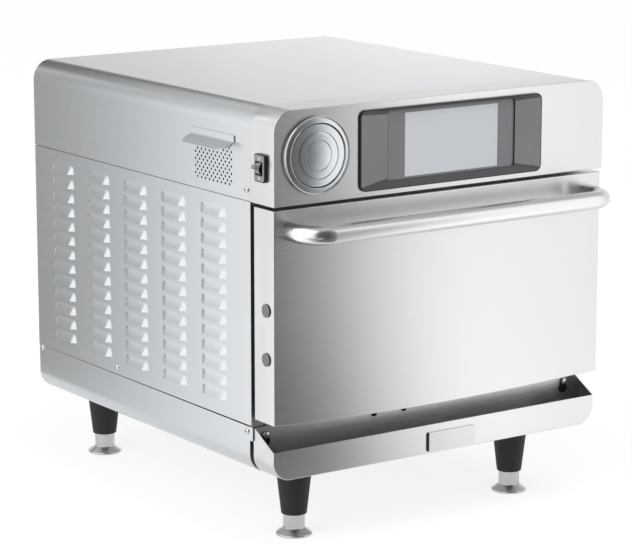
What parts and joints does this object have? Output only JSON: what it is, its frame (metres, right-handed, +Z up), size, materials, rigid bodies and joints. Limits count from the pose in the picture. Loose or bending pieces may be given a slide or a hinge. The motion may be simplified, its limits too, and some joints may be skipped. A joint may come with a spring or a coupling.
{
  "type": "speed oven",
  "caption": "Countertop high-speed oven in brushed stainless steel, with a drop-down door, tube handle, touch screen console, louvred sides, crumb trough and adjustable legs.",
  "frame": {"origin": "centre of the object's outline box, seen from above, at the height of the counter it stands on", "axes": "+X to the oven's right seen from in front, +Y from its face to its back, +Z up"},
  "size_m": [0.5637, 0.6946, 0.584],
  "materials": {
    "satin_steel": "satin brushed stainless steel sheet",
    "dull_steel": "plain galvanised steel sheet",
    "bright_steel": "bright plated steel",
    "black_plastic": "black moulded plastic",
    "grey_plastic": "warm grey moulded plastic, fine texture",
    "screen_glass": "smooth cover glass over a lit display",
    "rubber": "black woven-core seal",
    "blanket": "ceramic fibre blanket",
    "ceramic": "coated steel mesh brick",
    "copper": "varnished core and winding",
    "board": "green printed circuit board with black parts",
    "plug_grey": "dark grey push-in plug"
  },
  "bodies": {
    "oven_body": {"top_cover": "satin_steel", "vent_hood": "satin_steel", "vent_duct": "dull_steel", "control_console": "satin_steel", "touch_bezel": "grey_plastic", "touch_glass": "screen_glass", "display_module": "black_plastic", "medallion": "bright_steel", "badge_plate": "bright_steel", "power_switch_housing": "black_plastic", "base_pan": "satin_steel", "back_panel": "satin_steel", "front_frame": "satin_steel", "crumb_trough": "satin_steel", "cavity_liner": "satin_steel", "cavity_insulation": "blanket", "lower_jetplate": "satin_steel", "upper_jetplate": "satin_steel", "wire_rack": "bright_steel", "return_air_grille": "satin_steel", "catalytic_converter": "ceramic", "blower_housing": "dull_steel", "blower_motor": "dull_steel", "heater_coil": "dull_steel", "waveguide": "dull_steel", "stirrer_motor": "dull_steel", "fan_frame": "black_plastic", "electronics_shelf": "dull_steel", "control_board": "board", "cord_gland": "black_plastic", "side_panel_left": "satin_steel", "trough_screw_left": "bright_steel", "magnetron_left": "dull_steel", "transformer_left": "copper", "hinge_bracket_left": "dull_steel", "leg_front_left": "black_plastic", "leg_rear_left": "black_plastic", "side_panel_right": "satin_steel", "trough_screw_right": "bright_steel", "magnetron_right": "dull_steel", "transformer_right": "copper", "hinge_bracket_right": "dull_steel", "leg_front_right": "black_plastic", "leg_rear_right": "black_plastic"},
    "door": {"door_skin": "satin_steel", "door_inner_panel": "satin_steel", "door_gasket": "rubber", "door_handle": "satin_steel", "door_plug_lower_left": "plug_grey", "door_plug_lower_right": "plug_grey", "door_plug_upper_left": "plug_grey", "door_plug_upper_right": "plug_grey"},
    "power_switch": {"power_switch_lever": "bright_steel"},
    "blower": {"blower_wheel": "dull_steel"},
    "mode_stirrer": {"stirrer": "dull_steel"},
    "fan": {"cooling_fan": "black_plastic"},
    "front_left_foot": {"foot_front_left": "bright_steel"},
    "rear_left_foot": {"foot_rear_left": "bright_steel"},
    "front_right_foot": {"foot_front_right": "bright_steel"},
    "rear_right_foot": {"foot_rear_right": "bright_steel"}
  },
  "joints": [
    {"name": "door_hinge", "type": "hinge", "parent": "oven_body", "child": "door", "pos_m": [0.00765, -0.26275, 0.19], "axis": [1, 0, 0], "range_deg": [0, 90], "stiffness_Nm_per_rad": 4, "springref_deg": -45.84},
    {"name": "power_switch_toggle", "type": "hinge", "parent": "oven_body", "child": "power_switch", "pos_m": [-0.25985, -0.263, 0.5082], "axis": [0, -1, 0], "range_deg": [0, 26]},
    {"name": "blower_spin", "type": "hinge", "parent": "oven_body", "child": "blower", "pos_m": [0.00765, 0.18325, 0.319], "axis": [0, 1, 0], "continuous": true},
    {"name": "stirrer_spin", "type": "hinge", "parent": "oven_body", "child": "mode_stirrer", "pos_m": [0.00765, -0.04875, 0.227], "axis": [0, 0, 1], "continuous": true},
    {"name": "cooling_fan_spin", "type": "hinge", "parent": "oven_body", "child": "fan", "pos_m": [-0.14235, 0.30925, 0.322], "axis": [0, 1, 0], "continuous": true},
    {"name": "front_left_levelling", "type": "slide", "parent": "oven_body", "child": "front_left_foot", "axis": [0, 0, -1], "range_m": [0, 0.025]},
    {"name": "rear_left_levelling", "type": "slide", "parent": "oven_body", "child": "rear_left_foot", "axis": [0, 0, -1], "range_m": [0, 0.025]},
    {"name": "front_right_levelling", "type": "slide", "parent": "oven_body", "child": "front_right_foot", "axis": [0, 0, -1], "range_m": [0, 0.025]},
    {"name": "rear_right_levelling", "type": "slide", "parent": "oven_body", "child": "rear_right_foot", "axis": [0, 0, -1], "range_m": [0, 0.025]}
  ]
}
